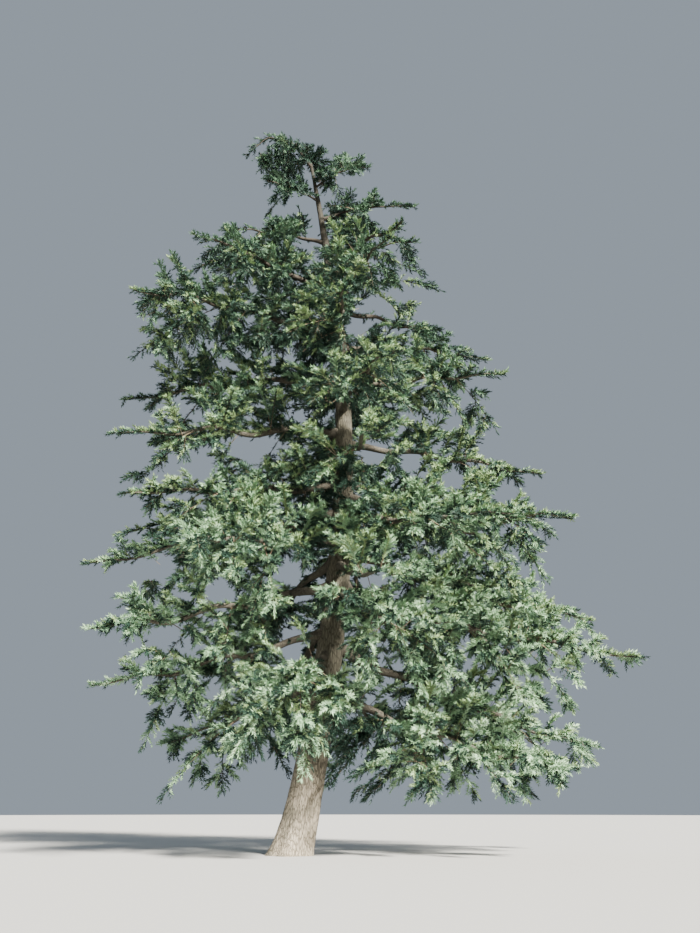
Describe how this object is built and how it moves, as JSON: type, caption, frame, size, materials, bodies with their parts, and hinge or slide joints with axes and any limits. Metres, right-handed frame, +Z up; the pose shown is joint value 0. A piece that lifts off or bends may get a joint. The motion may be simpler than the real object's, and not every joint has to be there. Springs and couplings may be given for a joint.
{
  "type": "deodar cedar tree",
  "caption": "Tall deodar cedar with a leaning trunk, bare boughs near it and layered, drooping masses of blue-green needle foliage up to a nodding tip.",
  "frame": {"origin": "centre of the flat cut under the trunk, at ground level", "axes": "+Z up, from the cut towards the tip; +X towards the side with the longest low boughs; -Y towards the open front, where the trunk's foot shows"},
  "size_m": [11.6173, 9.8606, 17.5456],
  "materials": {
    "trunk_bark": "rough grey-brown bark with upright fissures",
    "bough_bark": "dull grey-brown bark, smoother than the trunk's",
    "needles": "matt blue-green needles, olive towards the top of the tree"
  },
  "bodies": {
    "root": {"bough_01": "bough_bark", "bough_02": "bough_bark", "bough_03": "bough_bark", "bough_04": "bough_bark", "bough_05": "bough_bark", "bough_06": "bough_bark", "bough_07": "bough_bark", "bough_08": "bough_bark", "bough_09": "bough_bark", "bough_10": "bough_bark", "bough_11": "bough_bark", "bough_12": "bough_bark", "bough_13": "bough_bark", "bough_14": "bough_bark", "foliage_01": "needles", "foliage_02": "needles", "foliage_03": "needles", "foliage_04": "needles", "foliage_05": "needles", "foliage_06": "needles", "foliage_07": "needles", "foliage_08": "needles", "foliage_09": "needles", "foliage_10": "needles", "foliage_11": "needles", "foliage_12": "needles", "foliage_13": "needles", "foliage_14": "needles", "foliage_15": "needles", "foliage_16": "needles", "foliage_17": "needles", "foliage_18": "needles", "foliage_19": "needles", "foliage_20": "needles", "foliage_21": "needles", "foliage_22": "needles", "foliage_23": "needles", "foliage_24": "needles", "foliage_25": "needles", "foliage_26": "needles", "foliage_27": "needles", "foliage_28": "needles", "foliage_29": "needles", "foliage_30": "needles", "foliage_31": "needles", "foliage_32": "needles", "foliage_33": "needles", "foliage_34": "needles", "foliage_35": "needles", "foliage_36": "needles", "foliage_37": "needles", "foliage_38": "needles", "foliage_39": "needles", "foliage_40": "needles", "foliage_41": "needles", "foliage_42": "needles", "foliage_43": "needles", "foliage_44": "needles", "foliage_45": "needles", "trunk": "trunk_bark"}
  },
  "joints": []
}
